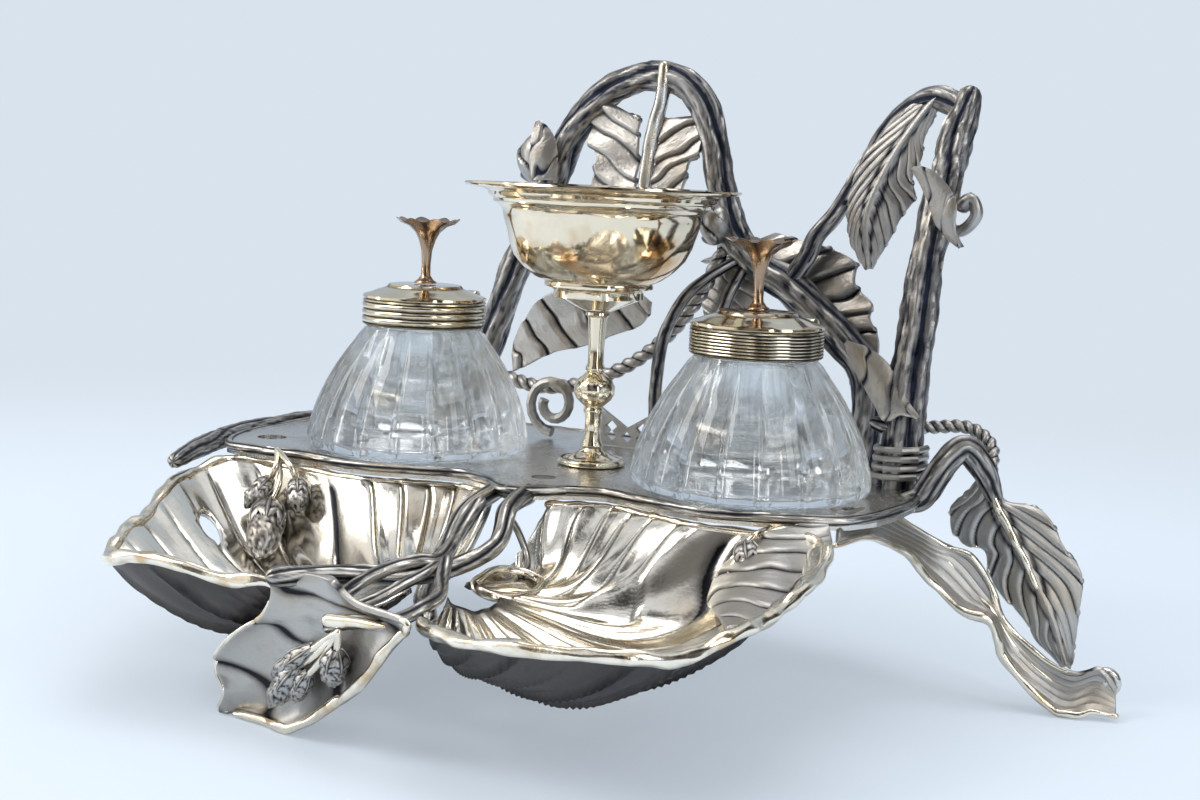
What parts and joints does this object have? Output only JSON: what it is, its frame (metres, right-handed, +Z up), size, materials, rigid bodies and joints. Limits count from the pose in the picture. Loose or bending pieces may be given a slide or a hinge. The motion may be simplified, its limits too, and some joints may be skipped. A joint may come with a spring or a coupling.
{
  "type": "inkstand",
  "caption": "Silver inkstand: two domed glass ink bottles with hinged lids on a leaf-dish tray, a stemmed cup, and a rack of branches, leaves and ropes behind.",
  "frame": {"origin": "on the ground under the middle of the stand", "axes": "+X from the left well to the right well, -Y towards the leaf dishes at the front, +Z up"},
  "size_m": [0.268, 0.1746, 0.1596],
  "materials": {
    "tray_silver": "bright worn silver, oxidised in the hollows",
    "rack_silver": "darker oxidised silver with fine lengthwise grooves",
    "polished_silver": "polished silver with turned lines",
    "well_glass": "clear cut glass, faintly blue"
  },
  "bodies": {
    "stand": {"platform": "tray_silver", "dish_left": "tray_silver", "dish_right": "tray_silver", "tray_stem_over": "tray_silver", "tray_stem_under": "tray_silver", "hazelnuts_left": "tray_silver", "hazelnuts_right": "tray_silver", "hazelnuts_front": "tray_silver", "front_foot_leaf": "tray_silver", "right_branch": "tray_silver", "right_leg_leaf": "tray_silver", "right_foot_leaf": "tray_silver", "right_foot_knob": "tray_silver", "left_branch": "tray_silver", "left_foot_leaf": "tray_silver", "cup_foot": "polished_silver", "cup_stem": "polished_silver", "cup_bowl": "polished_silver", "cup_nut": "polished_silver", "arch_branch": "rack_silver", "right_post": "rack_silver", "peak_branch": "rack_silver", "rope_stem": "rack_silver", "reed_stem": "rack_silver", "cane_stem": "rack_silver", "rope_loop": "rack_silver", "tendril_curl": "rack_silver", "post_stub": "rack_silver", "centre_leaf": "rack_silver", "big_leaf": "rack_silver", "hanging_leaf": "rack_silver", "lower_leaf": "rack_silver", "thorn_upper": "rack_silver", "thorn_lower": "rack_silver", "arch_bud_left": "rack_silver", "arch_bud_right": "rack_silver", "post_binding": "rack_silver", "c_scroll": "rack_silver", "lattice_panel": "rack_silver"},
    "left_bottle": {"glass_left": "well_glass", "collar_left": "polished_silver", "hinge_pin_left": "polished_silver"},
    "right_bottle": {"glass_right": "well_glass", "collar_right": "polished_silver", "hinge_pin_right": "polished_silver"},
    "left_lid": {"lid_left": "polished_silver", "finial_left": "polished_silver"},
    "right_lid": {"lid_right": "polished_silver", "finial_right": "polished_silver"}
  },
  "joints": [
    {"name": "left_bottle_lift", "type": "slide", "parent": "stand", "child": "left_bottle", "axis": [0, 0, 1], "range_m": [0, 0.025]},
    {"name": "right_bottle_lift", "type": "slide", "parent": "stand", "child": "right_bottle", "axis": [0, 0, 1], "range_m": [0, 0.025]},
    {"name": "left_lid_hinge", "type": "hinge", "parent": "left_bottle", "child": "left_lid", "pos_m": [-0.0485, 0.0403, 0.09035], "axis": [-1, 0, 0], "range_deg": [0, 100]},
    {"name": "right_lid_hinge", "type": "hinge", "parent": "right_bottle", "child": "right_lid", "pos_m": [0.05245, 0.03989, 0.09035], "axis": [-0.9781, 0.2079, 0], "range_deg": [0, 100]}
  ]
}
